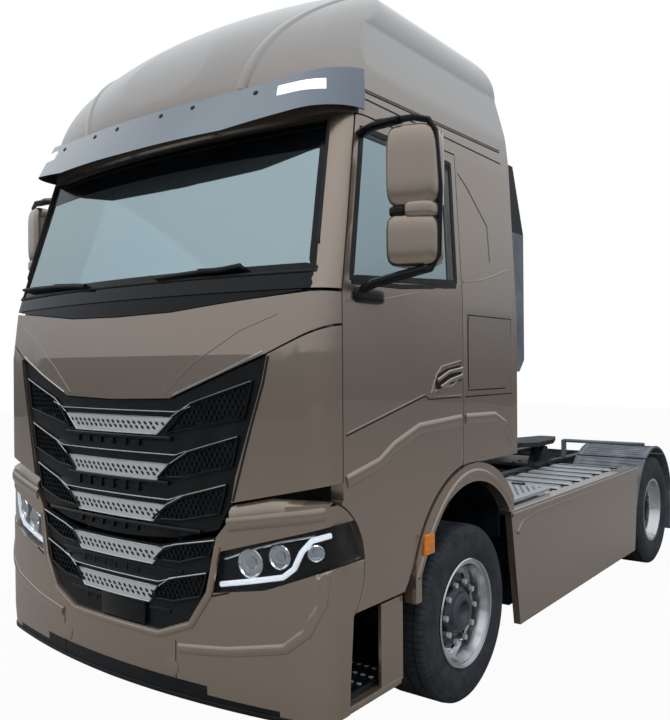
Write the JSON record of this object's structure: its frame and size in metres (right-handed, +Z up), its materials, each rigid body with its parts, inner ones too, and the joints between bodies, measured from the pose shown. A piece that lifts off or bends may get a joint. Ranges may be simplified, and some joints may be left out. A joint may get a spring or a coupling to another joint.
{
  "type": "semi truck tractor unit",
  "caption": "Cab-over tractor unit with high-roof sleeper cab, tilting cab, opening doors, steered front wheels, twin rear wheels and a fifth wheel.",
  "frame": {"origin": "middle of the truck on the ground", "axes": "+Z up, -Y forward along the truck, +X to the truck's left"},
  "size_m": [3.11, 6.2399, 3.9799],
  "materials": {
    "paint": "metallic champagne brown, gloss",
    "frame_paint": "dark grey chassis paint",
    "iron": "rough cast",
    "alu": "polished",
    "tank_alu": "brushed",
    "tyre": "matt",
    "black_plastic": "grained",
    "gloss_black": "gloss",
    "visor_plastic": "dark smoked",
    "plate_silver": "satin silver",
    "glass": "tinted clear",
    "lamp": "clear lens",
    "red_lamp": "red lens",
    "trim_inside": "grained",
    "seat_cloth": "woven",
    "grey_plastic": "grained"
  },
  "bodies": {
    "chassis": {"ladder_frame": "frame_paint", "engine": "iron", "front_axle": "iron", "front_springs": "frame_paint", "rear_axle": "iron", "fuel_tank": "tank_alu", "right_tanks": "tank_alu", "battery_boxes": "black_plastic", "side_skirts": "paint", "catwalk": "tank_alu", "fifth_wheel_stand": "frame_paint", "rear_mudguards": "grey_plastic", "tail_lamps": "red_lamp", "bumper": "paint", "headlamps": "lamp", "grille_lower": "black_plastic", "grille_plates_lower": "plate_silver", "steps": "black_plastic", "step_panels": "paint", "arch_bands": "paint", "wheel_liners": "black_plastic", "rear_hoop": "frame_paint"},
    "fifth_wheel": {"fifth_wheel_plate": "iron"},
    "cab": {"cab_floor": "frame_paint", "cab_back": "paint", "cab_sides": "paint", "cab_roof": "paint", "cab_front": "paint", "windscreen": "glass", "corner_panels": "paint", "cowl": "gloss_black", "sun_visor": "visor_plastic", "dashboard": "trim_inside", "seats": "seat_cloth", "bunk": "seat_cloth", "side_deflectors": "black_plastic"},
    "flap": {"front_flap": "paint", "grille_upper": "black_plastic", "grille_plates_upper": "plate_silver"},
    "left_door": {"door_left": "paint", "door_glass_left": "glass", "mirror_left": "paint"},
    "right_door": {"door_right": "paint", "door_glass_right": "glass", "mirror_right": "paint"},
    "left_locker": {"locker_door_left": "paint"},
    "right_locker": {"locker_door_right": "paint"},
    "steering_wheel_body": {"steering_wheel": "trim_inside"},
    "left_knuckle": {"knuckle_left": "iron"},
    "right_knuckle": {"knuckle_right": "iron"},
    "front_left_wheel": {"front_tyre_left": "tyre", "front_rim_left": "alu"},
    "front_right_wheel": {"front_tyre_right": "tyre", "front_rim_right": "alu"},
    "rear_left_wheels": {"rear_tyres_left": "tyre", "rear_rims_left": "alu"},
    "rear_right_wheels": {"rear_tyres_right": "tyre", "rear_rims_right": "alu"}
  },
  "joints": [
    {"name": "cab_tilt", "type": "hinge", "parent": "chassis", "child": "cab", "pos_m": [0, -2.99, 0.99], "axis": [1, 0, 0], "range_deg": [0, 60]},
    {"name": "flap_hinge", "type": "hinge", "parent": "cab", "child": "flap", "pos_m": [0, -2.82, 2.33], "axis": [-1, 0, 0], "range_deg": [0, 50]},
    {"name": "left_door_hinge", "type": "hinge", "parent": "cab", "child": "left_door", "pos_m": [1.255, -2.825, 1.9], "axis": [0, 0, -1], "range_deg": [0, 75]},
    {"name": "right_door_hinge", "type": "hinge", "parent": "cab", "child": "right_door", "pos_m": [-1.255, -2.825, 1.9], "axis": [0, 0, 1], "range_deg": [0, 75]},
    {"name": "left_locker_hinge", "type": "hinge", "parent": "cab", "child": "left_locker", "pos_m": [1.252, -1.35, 2.187], "axis": [0, -1, 0], "range_deg": [0, 90]},
    {"name": "right_locker_hinge", "type": "hinge", "parent": "cab", "child": "right_locker", "pos_m": [-1.252, -1.35, 2.187], "axis": [0, 1, 0], "range_deg": [0, 90]},
    {"name": "steering_wheel_turn", "type": "hinge", "parent": "cab", "child": "steering_wheel_body", "pos_m": [0.6, -2.39, 2.09], "axis": [0, 0.6157, 0.788], "range_deg": [-630, 630]},
    {"name": "left_steer", "type": "hinge", "parent": "chassis", "child": "left_knuckle", "pos_m": [0.945, -1.63, 0.498], "axis": [0, 0, 1], "range_deg": [-35, 35]},
    {"name": "right_steer", "type": "hinge", "parent": "chassis", "child": "right_knuckle", "pos_m": [-0.945, -1.63, 0.498], "axis": [0, 0, 1], "range_deg": [-35, 35]},
    {"name": "front_left_spin", "type": "hinge", "parent": "left_knuckle", "child": "front_left_wheel", "pos_m": [1.053, -1.63, 0.498], "axis": [1, 0, 0], "continuous": true},
    {"name": "front_right_spin", "type": "hinge", "parent": "right_knuckle", "child": "front_right_wheel", "pos_m": [-1.053, -1.63, 0.498], "axis": [1, 0, 0], "continuous": true},
    {"name": "rear_left_spin", "type": "hinge", "parent": "chassis", "child": "rear_left_wheels", "pos_m": [0.912, 2.17, 0.508], "axis": [1, 0, 0], "continuous": true},
    {"name": "rear_right_spin", "type": "hinge", "parent": "chassis", "child": "rear_right_wheels", "pos_m": [-0.912, 2.17, 0.508], "axis": [1, 0, 0], "continuous": true},
    {"name": "fifth_wheel_pitch", "type": "hinge", "parent": "chassis", "child": "fifth_wheel", "pos_m": [0, 1.57, 1.09], "axis": [1, 0, 0], "range_deg": [-12, 12]}
  ],
  "couplings": [
    {"joint": "right_steer", "follows": "left_steer", "ratio": 1},
    {"joint": "steering_wheel_turn", "follows": "left_steer", "ratio": 18}
  ]
}
